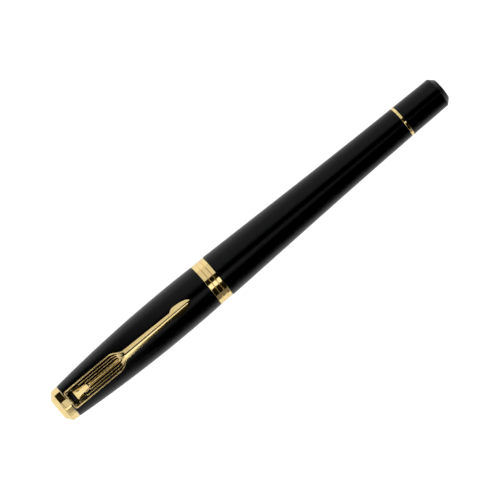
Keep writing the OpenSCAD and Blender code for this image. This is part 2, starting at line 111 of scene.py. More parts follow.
CLIP_TIP_S = back("clip")
CLIP_TOP_H = 8.1
CLIP_TOP_S = 30.0
CLIP_BOW = 0.0017
CLIP_T = 0.75
PANEL_S = 3.8
PANEL_W = 2.8
PANEL_CORNER = 0.6
PANEL_TAPER_S = 19.4
SHANK_S = 23.2
SHANK_W = 1.28
SHANK_END_W = 0.9
PAD_L = 4.9
PAD_SWELL_L = 1.8
PAD_W = 1.6
PAD_S = CLIP_TIP_S - PAD_L
FOOT_S = CLIP_TIP_S - 2.9
FRAME_W = 0.36
SPINE_W = 0.5
RAIL_W = 0.18
SLOT_STARTS = (10.0, 8.35, 6.7)
SLOT_END_S = 20.9
WINDOW_S = 4.4
WINDOW_END_S = 5.9
WINDOW_W = 1.9
WINDOW_CORNER = 0.3
RIDGE_H = 0.28
WEDGE_W = 1.35                  # half width of the wedge behind the window
WEDGE_H = 0.08
PANEL_SINK = 0.16               # how far the panel's floor lies below the plate's plain top
FLOOR_FALL = 0.06               # how fast the floor drops away in front of the slots
ROOF_SLOPE = 0.325              # slope of the shank's two faces, and how round its ridge is
ROOF_ROUND = 0.3
NECK_W = 1.0
NECK_S = front("clip")
NECK_END_S = 3.35
NECK_FOOT_H = 3.75

GRIP_S, GRIP_END_S = front("grip"), back("grip")
GRIP_FULL_S = 44.0
GRIP_FRONT_R = 3.9
GRIP_REAR_R = radius("grip")
SNAP_S, SNAP_END_S = front("snap_ring"), back("snap_ring")
SNAP_GROOVE_R = 4.65
COUPLING_R = 3.85
COUPLING_BORE_R = 3.12
THREAD_R = 4.4
THREAD_DEPTH = 0.42
THREAD_PITCH = 0.75
THREAD_S = 56.8
THREAD_END_S = 62.05

BARREL_S = front("barrel_tube")
BARREL_MOUTH_R = radius("barrel_tube")
BARREL_SLOPE = 0.0318
BARREL_BEND_S = 84.0
BARREL_CURVE = 0.000196
BEND_R = BARREL_MOUTH_R + 0.02 - BARREL_SLOPE * (BARREL_BEND_S - BARREL_S)
BARREL_WALL = 0.75
BUSH_S, BUSH_END_S = front("barrel_bush"), back("barrel_bush")
BUSH_R = radius("barrel_bush")
TAIL_RING_S, TAIL_S = front("tail_ring"), back("tail_ring")
TAIL_SPIGOT_R = 3.9
TAIL_BORE_R = 3.35
TAIL_FLOOR_S = PEN_L - 2.0
TAIL_BEVEL = 1.45
TAIL_FACE_R = 3.15
TAIL_SEAT_S = 113.5             # where the barrel's bore narrows onto the tail's spigot

REFILL_R = radius("refill_tube")
TUBE_S, TUBE_END_S = front("refill_tube"), back("refill_tube")
TUBE_INSIDE_R = REFILL_R - 0.2
REFILL_END_S = back("refill_plug")
BALL_R = radius("writing_ball")
BALL_S = (front("writing_ball") + back("writing_ball")) / 2
TIP_R = radius("writing_tip")
TIP_END_S = back("writing_tip")
FEED_R = radius("ink_feed")
RESERVOIR_S = front("ink_reservoir")
SPRING_R = 2.45
SPRING_WIRE_R = 0.2
SPRING_TURNS = 7


def cap_r(s):
    return CAP_FULL_R - CAP_CURVE * (s - CAP_FULL_S) ** 2


def barrel_r(s):
    bend = BARREL_CURVE * max(s - BARREL_BEND_S, 0) ** 2
    return min(BEND_R - BARREL_SLOPE * (s - BARREL_BEND_S) + bend, BARREL_MOUTH_R)


def grip_r(s):
    part = min((s - GRIP_S) / (GRIP_FULL_S - GRIP_S), 1)
    return GRIP_FRONT_R + (GRIP_REAR_R - GRIP_FRONT_R) * math.sin(math.pi / 2 * part)


# ---- mesh helpers -------------------------------------------------------------------------------

def mix(a, b, t):
    return a + (b - a) * t


def smooth(t):
    t = min(max(t, 0), 1)
    return t * t * (3 - 2 * t)


def spread(a, b, step):
    """Evenly spaced values from a to b, both ends included."""
    n = max(1, math.ceil(abs(b - a) / step))
    return [mix(a, b, i / n) for i in range(n + 1)]


def run(radius_at, a, b, step=0.8):
    """Outline points along a curve, from station a to station b."""
    return [(radius_at(s), s, 0) for s in spread(a, b, step)]


def corner_points(before, corner, after, r):
    """The arc that rounds a corner, with a guard point on each side to keep the flats flat."""
    p = Vector(corner)
    u, v = Vector(before) - p, Vector(after) - p
    lu, lv = u.length, v.length
    u, v = u.normalized(), v.normalized()
    angle = u.angle(v)
    if angle > math.radians(174):
        return [p]
    cut = min(r / math.tan(angle / 2), 0.45 * lu, 0.45 * lv)
    arc_r = cut * math.tan(angle / 2)
    centre = p + (u + v).normalized() * (arc_r / math.sin(angle / 2))
    a, b = p + u * cut - centre, p + v * cut - centre
    turn = a.angle_signed(b)
    steps = max(3, math.ceil(abs(turn) / math.radians(15)))
    arc = [centre + Matrix.Rotation(-turn * i / steps, 2) @ a for i in range(steps + 1)]
    guard = min(0.3 * cut, 0.03)
    return [arc[0] + u * guard] + arc + [arc[-1] + v * guard]


def rounded(outline, closed=True):
    """An outline of (radius, station, rounding) as plain points."""
    points = []
    n = len(outline)
    for i, (r, s, rounding) in enumerate(outline):
        inner = closed or 0 < i < n - 1
        if rounding and inner:
            before, after = outline[i - 1], outline[(i + 1) % n]
            points += corner_points(before[:2], (r, s), after[:2], rounding)
        else:
            points.append(Vector((r, s)))
    return points


def make_piece(name, bm, sharp=35):
    """A mesh object from a bmesh: normals out, smooth shading with sharp edges past an angle."""
    bmesh.ops.remove_doubles(bm, verts=bm.verts, dist=1e-8)
    bmesh.ops.dissolve_degenerate(bm, edges=bm.edges, dist=1e-8)
    bmesh.ops.recalc_face_normals(bm, faces=bm.faces)
    mesh = bpy.data.meshes.new(name)
    bm.to_mesh(mesh)
    bm.free()
    finish_shading(mesh, sharp)
    piece = bpy.data.objects.new(name, mesh)
    bpy.context.scene.collection.objects.link(piece)
    return piece


def finish_shading(mesh, sharp):
    mesh.polygons.foreach_set("use_smooth", [True] * len(mesh.polygons))
    mesh.set_sharp_from_angle(angle=math.radians(sharp))


def add_strip(bm, a, b):
    """Faces between two rings of the same count, either of which may be a single pole."""
    n = max(len(a), len(b))
    for i in range(n):
        j = (i + 1) % n
        if len(a) == 1:
            bm.faces.new((a[0], b[j], b[i]))
        elif len(b) == 1:
            bm.faces.new((a[i], a[j], b[0]))
        else:
            bm.faces.new((a[i], a[j], b[j], b[i]))


def turn_ring(bm, r, s, segments, shape):
    """One ring of vertices about the axis, or one vertex where the radius is 0."""
    if r < 1e-6:
        return [bm.verts.new(place(s, 0, 0))]
    ring = []
    for i in range(segments):
        t = 2 * math.pi * i / segments
        rr = shape(r, s, t) if shape else r
        ring.append(bm.verts.new(place(s, rr * math.cos(t), rr * math.sin(t))))
    return ring


def lathe(name, outline, segments=128, shape=None, sharp=35):
    """A turned piece: a closed outline, or one that starts and ends on the axis."""
    bm = bmesh.new()
    points = rounded(outline)
    rings = [turn_ring(bm, p[0], p[1], segments, shape) for p in points]
    for i, ring in enumerate(rings):
        following = rings[(i + 1) % len(rings)]
        if len(ring) > 1 or len(following) > 1:
            add_strip(bm, ring, following)
    return make_piece(name, bm, sharp)


def part_lathe(name, outline, start, end, segments=96, sharp=35):
    """A turned piece that goes only part of the way round, with flat ends."""
    bm = bmesh.new()
    points = rounded(outline)
    slices = []
    for i in range(segments + 1):
        t = mix(start, end, i / segments)
        slices.append([bm.verts.new(place(p[1], p[0] * math.cos(t), p[0] * math.sin(t)))
                       for p in points])
    for a, b in zip(slices, slices[1:]):
        add_strip(bm, a, b)
    bm.faces.new(slices[0])
    bm.faces.new(slices[-1])
    return make_piece(name, bm, sharp)


def block(s0, s1, w, h0, h1):
    """A scratch box for cutting, from station s0 to s1, w wide and from height h0 to h1."""
    bm = bmesh.new()
    corners = [bm.verts.new(place(s, y, h)) for s in (s0, s1) for y in (-w / 2, w / 2)
               for h in (h0, h1)]
    for face in ((0, 1, 3, 2), (4, 6, 7, 5), (0, 4, 5, 1), (2, 3, 7, 6), (0, 2, 6, 4),
                 (1, 5, 7, 3)):
        bm.faces.new([corners[i] for i in face])
    return make_piece("cutter", bm)


def combine(piece, other, operation, sharp=35):
    """Adds another mesh to a piece, or cuts it away, and drops the other mesh."""
    modifier = piece.modifiers.new("combine", "BOOLEAN")
    modifier.operation = operation
    modifier.solver = "EXACT"
    modifier.object = other
    apply_modifiers(piece)
    bpy.data.objects.remove(other)
    finish_shading(piece.data, sharp)
    return piece


def apply_modifiers(piece):
    evaluated = piece.evaluated_get(bpy.context.evaluated_depsgraph_get())
    mesh = bpy.data.meshes.new_from_object(evaluated)
    old = piece.data
    piece.modifiers.clear()
    piece.data = mesh
    bpy.data.meshes.remove(old)


def settle(piece, node, body, material):
    """Puts a piece on its body in place of its CAD node, with its material."""
    piece.data.materials.clear()
    piece.data.materials.append(material)
    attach(piece, body)
    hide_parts(node)
    return piece


# ---- material helpers ---------------------------------------------------------------------------

class Nodes:
    """A material's node tree, with short calls for the nodes that it uses."""

    def __init__(self, name):
        self.material = bpy.data.materials.new(name)
        self.material.use_nodes = True
        self.tree = self.material.node_tree
        self.tree.nodes.clear()
        self.shader = self.add("ShaderNodeBsdfPrincipled")
        output = self.add("ShaderNodeOutputMaterial")
        self.link(self.shader.outputs[0], output.inputs[0])

    def add(self, kind, **settings):
        node = self.tree.nodes.new(kind)
        for key, value in settings.items():
            setattr(node, key, value)
        return node

    def link(self, a, b):
        self.tree.links.new(a, b)

    def place(self, scale):
        """Object coordinates in metres, stretched by a scale along each axis."""
        where = self.add("ShaderNodeTexCoord")
        stretch = self.add("ShaderNodeMapping")
        stretch.inputs["Scale"].default_value = scale
        self.link(where.outputs["Object"], stretch.inputs["Vector"])
        return stretch.outputs["Vector"]

    def noise(self, scale, detail=3, roughness=0.55):
        """Noise from 0 to 1; scale is its cells for each metre along each axis."""
        node = self.add("ShaderNodeTexNoise")
        node.inputs["Scale"].default_value = 1
        node.inputs["Detail"].default_value = detail
        node.inputs["Roughness"].default_value = roughness
        self.link(self.place(scale), node.inputs["Vector"])
        return node.outputs["Fac"]

    def colours(self, value, low, high, start=0.3, end=0.7):
        """A colour that goes from low to high as a value goes from start to end."""
        ramp = self.add("ShaderNodeValToRGB")
        ramp.color_ramp.elements[0].position = start
        ramp.color_ramp.elements[1].position = end
        ramp.color_ramp.elements[0].color = (*low, 1)
        ramp.color_ramp.elements[1].color = (*high, 1)
        self.link(value, ramp.inputs["Fac"])
        self.link(ramp.outputs["Color"], self.shader.inputs["Base Color"])

    def ranged(self, value, low, high):
        """A value from noise, moved to lie about between low and high."""
        node = self.add("ShaderNodeMapRange")
        limits = {"From Min": 0.25, "From Max": 0.75, "To Min": low, "To Max": high}
        for key, number in limits.items():
            node.inputs[key].default_value = number
        self.link(value, node.inputs["Value"])
        return node.outputs["Result"]

    def roughness(self, value, low, high):
        self.link(self.ranged(value, low, high), self.shader.inputs["Roughness"])

    def bump(self, height, strength, distance, under=None):
        """Adds a bump of a height in millimetres; under is a coarser bump that it lies on."""
        node = self.add("ShaderNodeBump")
        node.inputs["Strength"].default_value = strength
        node.inputs["Distance"].default_value = distance * MM
        self.link(height, node.inputs["Height"])
        if under:
            self.link(under, node.inputs["Normal"])
        self.link(node.outputs["Normal"], self.shader.inputs["Normal"])
        return node.outputs["Normal"]

    def set(self, **values):
        """Numbers that are the same all over, on the shader's own sockets."""
        for key, value in values.items():
            self.shader.inputs[key.replace("_", " ")].default_value = value


def lacquer(name, low, high, rough):
    """Satin black lacquer over metal: a faint soft unevenness and very fine grain."""
    m = Nodes(name)
    m.colours(m.noise((300, 300, 300)), low, high)
    m.roughness(m.noise((900, 900, 900), 4), rough - 0.03, rough + 0.03)
    m.bump(m.noise((2600, 2600, 2600), 4), 0.10, 0.004)
    m.set(IOR=1.34)
    return m.material


def metal(name, low, high, rough, lines=0.06):
    """Turned and polished metal: slight tint changes and very fine lines round the pen."""
    m = Nodes(name)
    m.colours(m.noise((700, 500, 500)), low, high)
    m.roughness(m.noise((1500, 400, 400), 4), rough * 0.75, rough * 1.3)
    m.bump(m.noise((9000, 150, 150), 3), lines, 0.003)
    m.set(Metallic=1)
    return m.material


def plastic(name, low, high, rough, grain=0.1):
    """Moulded plastic: an even colour with a fine moulded grain."""
    m = Nodes(name)
    m.colours(m.noise((500, 500, 500)), low, high)
    m.roughness(m.noise((1200, 1200, 1200)), rough - 0.05, rough + 0.05)
    m.bump(m.noise((4000, 4000, 4000), 4), grain, 0.005)
    m.set(IOR=1.49)
    return m.material


def fibre(name, low, high):
    """Pressed fibre that runs along the pen."""
    m = Nodes(name)
    strands = m.noise((350, 9000, 9000), 5)
    m.colours(strands, low, high)
    m.roughness(m.noise((800, 5000, 5000)), 0.8, 0.95)
    m.bump(strands, 0.5, 0.03)
    return m.material


def rubber(name):
    m = Nodes(name)
    m.colours(m.noise((2500, 2500, 2500)), (0.010, 0.010, 0.010), (0.022, 0.022, 0.022))
    m.roughness(m.noise((3000, 3000, 3000)), 0.55, 0.75)
    m.bump(m.noise((6000, 6000, 6000), 4), 0.15, 0.005)
    return m.material


BLACK = lacquer("black_lacquer", (0.0006, 0.0006, 0.0006), (0.0016, 0.0016, 0.0016), 0.30)
TAIL_BLACK = lacquer("tail_lacquer", (0.0006, 0.0006, 0.0006), (0.0014, 0.0014, 0.0014), 0.30)
GOLD = metal("gold_trim", (0.90, 0.68, 0.30), (0.96, 0.76, 0.38), 0.10)
BRASS = metal("brass", (0.66, 0.45, 0.16), (0.78, 0.56, 0.24), 0.24, 0.2)
STEEL = metal("steel", (0.56, 0.56, 0.57), (0.66, 0.66, 0.67), 0.2, 0.15)
REFILL_METAL = metal("refill_metal", (0.62, 0.63, 0.64), (0.72, 0.73, 0.74), 0.3, 0.25)
NICKEL = metal("nickel_silver", (0.62, 0.58, 0.48), (0.72, 0.68, 0.58), 0.18, 0.12)
BALL_METAL = metal("ball_metal", (0.42, 0.42, 0.44), (0.50, 0.50, 0.52), 0.1)
GRIP_PLASTIC = plastic("grip_plastic", (0.010, 0.010, 0.011), (0.017, 0.017, 0.018), 0.28)
LINER_PLASTIC = plastic("liner_plastic", (0.045, 0.045, 0.048), (0.06, 0.06, 0.064), 0.5, 0.2)
REFILL_PLASTIC = plastic("refill_plastic", (0.025, 0.025, 0.028), (0.035, 0.035, 0.04), 0.42)
FELT = fibre("felt", (0.62, 0.61, 0.56), (0.86, 0.85, 0.80))
INKED_FELT = fibre("inked_felt", (0.008, 0.008, 0.022), (0.03, 0.03, 0.07))
RUBBER = rubber("rubber")


# ---- cap ----------------------------------------------------------------------------------------

def make_crown():
    edge_r = RING_FRONT_R - 0.04
    end_s, screw_r, hole_s = back("crown"), 1.3, 0.95
    piece = lathe("crown_cap", [
        (0, 0, 0), (3.1, 0, 0.5), (edge_r, RING_S - 0.05, 0.1), (edge_r - 0.02, RING_S, 0),
        (SPIGOT_R, RING_S, 0.05), (SPIGOT_R, end_s, 0.15), (screw_r, end_s, 0.1),
        (screw_r, hole_s, 0.1), (0, hole_s, 0)])
    return settle(piece, "crown", "cap", GOLD)


def make_crown_screw():
    tip_s, end_s = front("crown_screw"), back("crown_screw")
    head_s, r, head_r = end_s - 1.3, 1.25, radius("crown_screw")
    piece = lathe("crown_screw_slotted", [
        (0, tip_s, 0), (r, tip_s, 0.25), (r, head_s, 0.05), (head_r, head_s, 0.1),
        (head_r, end_s, 0.35), (0, end_s, 0)], 96)
    combine(piece, block(end_s - 0.7, end_s + 1, 0.6, -3, 3), "DIFFERENCE")
    return settle(piece, "crown_screw", "cap", STEEL)


def make_clip_ring():
    inner = SPIGOT_R + FIT
    piece = lathe("clip_ring_band", [
        (inner, RING_S, 0.05), (RING_FRONT_R, RING_S, 0.16), (RING_R, RING_END_S, 0.12),
        (inner, RING_END_S, 0.05)], 192)
    notch = block(NECK_S - FREE, RING_END_S + 2, 2 * (NECK_W + FREE), NECK_FOOT_H - FREE, 8)
    combine(piece, notch, "DIFFERENCE")
    return settle(piece, "clip_ring", "cap", GOLD)


def make_cap_shell():
    bore_r = SPIGOT_R + FIT
    outer = run(cap_r, SHELL_S + 0.12, BAND_S - 0.06)
    inner = run(lambda s: cap_r(s) - SHELL_WALL, BAND_S - 1.2, SHELL_S + SHELL_ROOF + 0.4)
    piece = lathe("cap_shell_lacquered", [
        (bore_r, SHELL_S, 0.05), (cap_r(SHELL_S) - 0.1, SHELL_S, 0.03), *outer,
        (cap_r(BAND_S) - 0.05, BAND_S, 0), (BAND_SEAT_R, BAND_S, 0.03),
        (BAND_SEAT_R, BAND_LIP_S, 0.05), (SHELL_BORE_R, BAND_LIP_S, 0.05),
        (SHELL_BORE_R, BAND_S - 0.9, 0.05), *inner,
        (cap_r(SHELL_S + SHELL_ROOF) - SHELL_WALL - 0.4, SHELL_S + SHELL_ROOF, 0.1),
        (bore_r, SHELL_S + SHELL_ROOF, 0.05)], 192)
    return settle(piece, "cap_shell", "cap", BLACK)


def make_inner_cap():
    top_s, end_s = front("inner_cap"), back("inner_cap")
    max_r, bore_r = radius("inner_cap"), 1.35
    snap_s, snap_end_s = SNAP_S - 0.1, SNAP_END_S + 0.1
    outer = run(lambda s: min(cap_r(s) - SHELL_WALL - FREE, max_r), top_s + 0.2, end_s - 0.2, 1)
    piece = lathe("inner_cap_liner", [
        (bore_r, top_s, 0.05), (cap_r(top_s) - SHELL_WALL - FREE - 0.2, top_s, 0.05), *outer,
        (max_r - 0.1, end_s, 0.05), (5.15, end_s, 0.15),
        (5.15, snap_end_s + 0.3, 0.1), (5.33, snap_end_s, 0.08), (5.33, snap_s, 0.08),
        (5.15, snap_s - 0.3, 0.1), (5.15, 29, 0.3), (4.62, 28, 0.3), (4.62, 19.7, 0.2),
        (4.08, 19.1, 0.1), (3.45, 17.9, 0.2), (3.45, 5.7, 0.4), (bore_r, 5.7, 0.05)])
    return settle(piece, "inner_cap", "cap", LINER_PLASTIC)


def band_groove(s):
    """A turned groove in the band: its two lips and its floor."""
    floor_r = BAND_R - GROOVE_DEPTH
    return [(BAND_R, s + 0.13, 0.03), (floor_r, s + 0.03, 0.02),
            (floor_r, s - 0.03, 0.02), (BAND_R, s - 0.13, 0.03)]


def make_cap_band():
    seat, lip_s = BAND_SEAT_R + 0.02, BAND_LIP_S + 0.02
    grooves = [point for s in BAND_GROOVES for point in band_groove(s)]
    piece = lathe("cap_band_grooved", [
        (seat, BAND_S, 0.04), (seat, lip_s, 0.03), (BAND_LIP_R, lip_s, 0.05),
        (BAND_LIP_R, BAND_END_S, 0.12), (BAND_R, BAND_END_S, 0.14), *grooves,
        (BAND_R, BAND_S, 0.08)], 192)
    return settle(piece, "cap_band", "cap", GOLD)


# ---- clip ---------------------------------------------------------------------------------------

def clip_top(s):
    return CLIP_TOP_H - CLIP_BOW * (s - CLIP_TOP_S) ** 2


def smooth_max(a, b, soft):
    blend_part = max(soft - abs(a - b), 0) / soft
    return max(a, b) + blend_part * blend_part * soft / 4


def clip_w(s):
    """Half width of the clip's plan at a station."""
    if s < PANEL_S + PANEL_CORNER:
        inside = PANEL_CORNER ** 2 - (PANEL_S + PANEL_CORNER - s) ** 2
        return PANEL_W - PANEL_CORNER + math.sqrt(max(inside, 0))
    if s < PANEL_TAPER_S:
        return PANEL_W
    if s < SHANK_S:
        u = (s - PANEL_TAPER_S) / (SHANK_S - PANEL_TAPER_S)
        return SHANK_W + (PANEL_W - SHANK_W) * (1 + math.cos(math.pi * u)) / 2
    shank = mix(SHANK_W, SHANK_END_W, (s - SHANK_S) / (PAD_S - SHANK_S))
    half_l = PAD_L if s > PAD_S else PAD_SWELL_L
    drop = PAD_W * math.sqrt(max(1 - ((s - PAD_S) / half_l) ** 2, 0))
    if s > PAD_S:
        return drop
    return min(smooth_max(shank, drop, 0.4), PAD_W)


STRIPS = ("spine", "rail", "rail", "frame")
STRIP_LINES = {
    "spine": (0, 0.35, 0.65, 0.88, 1),
    "rail": (0, 0.12, 0.3, 0.5, 0.7, 0.88, 1),
    "frame": (0, 0.1, 0.25, 0.42, 0.58, 0.75, 0.9, 1),
}
LINE_STRIPS = [(k, u) for k, kind in enumerate(STRIPS) for u in STRIP_LINES[kind]]
GAP_AFTER = {i: LINE_STRIPS[i][0] for i in range(len(LINE_STRIPS) - 1)
             if LINE_STRIPS[i][0] != LINE_STRIPS[i + 1][0]}
WINDOW_ARC = 5                  # lines that round the window's corner
WINDOW_LINE = 14                # the line that is the window's side
PANEL_LINE = len(LINE_STRIPS) - len(STRIP_LINES["frame"])


def root_lines():
    """Offsets of the long lines beside the window, where there are no slots."""
    flat = WINDOW_W - WINDOW_CORNER
    wedge = [WEDGE_W * u for u in STRIP_LINES["spine"]]
    beside = WINDOW_LINE - WINDOW_ARC + 1 - len(wedge)
    inner = wedge + [mix(WEDGE_W, flat, i / beside) for i in range(1, beside + 1)]
    arc = [flat + WINDOW_CORNER * math.sin(math.pi / 2 * i / WINDOW_ARC)
           for i in range(1, WINDOW_ARC + 1)]
    inside = PANEL_W - FRAME_W
    outer = [mix(WINDOW_W, inside, (i - WINDOW_LINE) / (PANEL_LINE - WINDOW_LINE))
             for i in range(WINDOW_LINE + 1, PANEL_LINE)]
    return inner + arc + outer + [mix(inside, PANEL_W, u) for u in STRIP_LINES["frame"]]


def slot_pinch(s, k, w):
    """How far apart the lines beside slot k are at a station: the slot's ends are half circles,
    and in the web in front of it they draw apart again."""
    near = min(s - SLOT_STARTS[k], SLOT_END_S - s)
    if near <= 0:
        return smooth(-near / 0.8)
    r = w / 2
    return math.sqrt(1 - (1 - near / r) ** 2) if near < r else 1


def open_lines(s):
    """Offsets of the long lines across the openwork: spine, two rails and frame."""
    w = clip_w(min(max(s, PANEL_S + PANEL_CORNER), SHANK_S - 1))
    slot = (w - FRAME_W - SPINE_W - 2 * RAIL_W) / 3
    edges = [(0, SPINE_W)]
    for k in range(2):
        start = SPINE_W + slot + k * (slot + RAIL_W)
        edges.append((start, start + RAIL_W))
    edges.append((w - FRAME_W, w))
    closing = [(1 - slot_pinch(s, k, slot)) * slot / 2 for k in range(3)]
    if s < SLOT_STARTS[0]:
        taper = (s - WINDOW_END_S) / (SLOT_STARTS[0] - WINDOW_END_S)
        edges[0] = (0, mix(WEDGE_W, SPINE_W + slot / 2, taper) - closing[0])
    lines = []
    for k, u in LINE_STRIPS:
        low = edges[k][0] - (closing[k - 1] if k > 0 else 0)
        high = edges[k][1] + (closing[k] if k < 3 else 0)
        lines.append(mix(low, high, u))
    return lines


def clip_lines(s):
    """Offsets of every long line at a station, from the middle to the edge."""
    w = clip_w(s)
    openwork = open_lines(s)
    first = min(SLOT_STARTS)
    if s < first:
        t = smooth((s - WINDOW_END_S - 0.05) / (first - WINDOW_END_S - 0.1))
        scale = w / PANEL_W
        return [mix(root, line, t) * (scale if t == 0 else 1)
                for root, line in zip(root_lines(), openwork)]
    t = smooth((s - SLOT_END_S) / (SHANK_S - SLOT_END_S))
    last = len(openwork) - 1
    return [mix(line * w / openwork[-1], w * i / last, t) for i, line in enumerate(openwork)]


def edge_distance(s, y):
    """Distance from the panel's outline, at its front and sides."""
    corner_s, corner_y = PANEL_S + PANEL_CORNER, PANEL_W - PANEL_CORNER
    if s < corner_s and y > corner_y:
        return PANEL_CORNER - math.hypot(corner_s - s, y - corner_y)
    return min(s - PANEL_S, clip_w(max(s, corner_s)) - y)


def bead(u, height):
    """A rounded bead's height at u, from 0 to 1 across it."""
    return height * (1 - (2 * min(max(u, 0), 1) - 1) ** 2)


def panel_floor(s):
    return -PANEL_SINK - FLOOR_FALL * (s - PANEL_S)


def spine_relief(s, u):
    """The middle strip's top: a flat wedge with bevelled sides that becomes a rounded spine."""
    taper = min((s - WINDOW_END_S) / (SLOT_STARTS[0] - WINDOW_END_S), 1)
    bevel_u, bevel_w = mix(0.88, 0.65, taper), mix(0.12, 0.23, taper)
    inside = min(max((bevel_u - u) / bevel_w + 1, 0), 1)
    flat = mix(panel_floor(s), mix(WEDGE_H, RIDGE_H, taper), inside)
    round_top = mix(-PANEL_SINK, RIDGE_H, 1 - u * u)
    return mix(flat, round_top, smooth((s - SLOT_STARTS[0]) / 1.5))


def panel_relief(s, i, y):
    """The panel's top: a bead round its outline, a sunk floor and the wedge and spine."""
    k, u = LINE_STRIPS[i]
    edge = edge_distance(s, y)
    if edge < FRAME_W + 1e-6:
        return -0.06 + bead(edge / FRAME_W, 0.10)
    if k == 0 and s > WINDOW_END_S - 1e-6:
        return spine_relief(s, u)
    rail = smooth((s - SLOT_STARTS[k - 1]) / 0.4) if 0 < k < 3 else 0
    return mix(panel_floor(s), -PANEL_SINK - 0.05 + bead(u, 0.05), rail)


def clip_relief(s, i, y):
    """Height of the top surface above the plate's plain top, at line i and offset y."""
    ridge = RIDGE_H * min(1, clip_w(s) / SHANK_END_W)
    roof = ridge - ROOF_SLOPE * (math.hypot(y, ROOF_ROUND) - ROOF_ROUND)
    shank = smooth((s - SLOT_END_S) / 2)
    return mix(panel_relief(s, i, y), roof, shank) if shank < 1 else roof


def clip_stations():
    """Stations of the clip's cross lines, closer together at the ends and beside the slots."""
    corner = [PANEL_S + PANEL_CORNER * (1 - math.cos(math.pi / 2 * i / 8)) for i in range(9)]
    near = (0, 0.015, 0.05, 0.1, 0.16, 0.24)
    tip = [PAD_S + PAD_L * math.sin(math.pi / 2 * i / 30) for i in range(31)]
    stations = corner + spread(WINDOW_S, WINDOW_END_S, 0.2)
    stations += spread(WINDOW_END_S, min(SLOT_STARTS), 0.1)
    for start in SLOT_STARTS:
        stations += [start + d for d in near]
    stations += [SLOT_END_S - d for d in near]
    stations += spread(min(SLOT_STARTS) + 0.3, SLOT_END_S - 0.3, 0.3)
    stations += spread(SLOT_END_S, SHANK_S, 0.2) + spread(SHANK_S, PAD_S - PAD_SWELL_L, 0.4)
    stations += spread(PAD_S - PAD_SWELL_L, PAD_S, 0.1) + tip
    ordered = sorted(set(round(s, 4) for s in stations))
    return [s for i, s in enumerate(ordered) if i == 0 or s - ordered[i - 1] > 0.002]


def cell_is_open(s0, s1, i):
    """True where a cell of the grid, between lines i and i + 1, is a slot or the window."""
    if s0 >= WINDOW_S - 1e-6 and s1 <= WINDOW_END_S + 1e-6:
        return i < WINDOW_LINE
    slot = GAP_AFTER.get(i)
    return slot is not None and s0 >= SLOT_STARTS[slot] - 1e-6 and s1 <= SLOT_END_S + 1e-6


def window_corner(s, y):
    """How far the window's end lines bend in near its corners."""
    out = abs(y) - (WINDOW_W - WINDOW_CORNER)
    if out <= 0 or abs(y) > WINDOW_W + 1e-6:
        return 0
    bend = WINDOW_CORNER - math.sqrt(max(WINDOW_CORNER ** 2 - out * out, 0))
    if abs(s - WINDOW_S) < 1e-4:
        return bend
    if abs(s - WINDOW_END_S) < 1e-4:
        return -bend
    return 0


def clip_plate():
    """The panel, shank and pad as one plate with open slots."""
    bm = bmesh.new()
    stations = clip_stations()
    lines = len(LINE_STRIPS)
    index = [-i for i in range(lines - 1, 0, -1)] + list(range(lines))
    top, bottom = [], []
    for s in stations:
        offsets = clip_lines(s)
        top.append([])
        bottom.append([])
        for i in index:
            y = math.copysign(offsets[abs(i)], i)
            x = s + window_corner(s, y)
            h = clip_top(x)
            top[-1].append(bm.verts.new(place(x, y, h + clip_relief(s, abs(i), abs(y)))))
            bottom[-1].append(bm.verts.new(place(x, y, h - CLIP_T)))
    solid = {}
    for a in range(len(stations) - 1):
        for b in range(len(index) - 1):
            i = min(abs(index[b]), abs(index[b + 1]))
            if not cell_is_open(stations[a], stations[a + 1], i):
                solid[a, b] = True
                for grid in (top, bottom):
                    bm.faces.new((grid[a][b], grid[a + 1][b], grid[a + 1][b + 1], grid[a][b + 1]))
    add_walls(bm, solid, top, bottom)
    return make_piece("clip_openwork", bm, 50)


def add_walls(bm, solid, top, bottom):
    """The upright faces round the plate's outer edge and round its openings."""
    for a, b in solid:
        sides = (((a - 1, b), (a, b), (a, b + 1)), ((a + 1, b), (a + 1, b), (a + 1, b + 1)),
                 ((a, b - 1), (a, b), (a + 1, b)), ((a, b + 1), (a, b + 1), (a + 1, b + 1)))
        for beside, p, q in sides:
            if beside not in solid:
                t0, t1 = top[p[0]][p[1]], top[q[0]][q[1]]
                b0, b1 = bottom[p[0]][p[1]], bottom[q[0]][q[1]]
                bm.faces.new((t0, t1, b1, b0))


def clip_neck():
    """The neck that rises from the ring and turns over into the panel."""
    top = clip_top(PANEL_S)
    under = top - CLIP_T
    side = rounded([
        (NECK_S, NECK_FOOT_H, 0.1), (NECK_END_S, NECK_FOOT_H, 0.1), (NECK_END_S, under, 0.25),
        (PANEL_S + 0.4, under + 0.02, 0), (PANEL_S + 0.4, top - 0.02, 0),
        (PANEL_S - 0.15, top - 0.01, 0.35), (NECK_S, 5.2, 0.5)])
    middle = sum((p for p in side), Vector((0, 0))) / len(side)
    bm = bmesh.new()
    layers = []
    for y, inset in ((-NECK_W, 0.14), (-NECK_W + 0.04, 0.05), (-NECK_W + 0.14, 0),
                     (0, 0), (NECK_W - 0.14, 0), (NECK_W - 0.04, 0.05), (NECK_W, 0.14)):
        shrink = [p + (middle - p).normalized() * inset for p in side]
        layers.append([bm.verts.new(place(p[0], y, p[1])) for p in shrink])
    for a, b in zip(layers, layers[1:]):
        add_strip(bm, a, b)
    bm.faces.new(layers[0])
    bm.faces.new(layers[-1])
    return make_piece("neck", bm, 50)


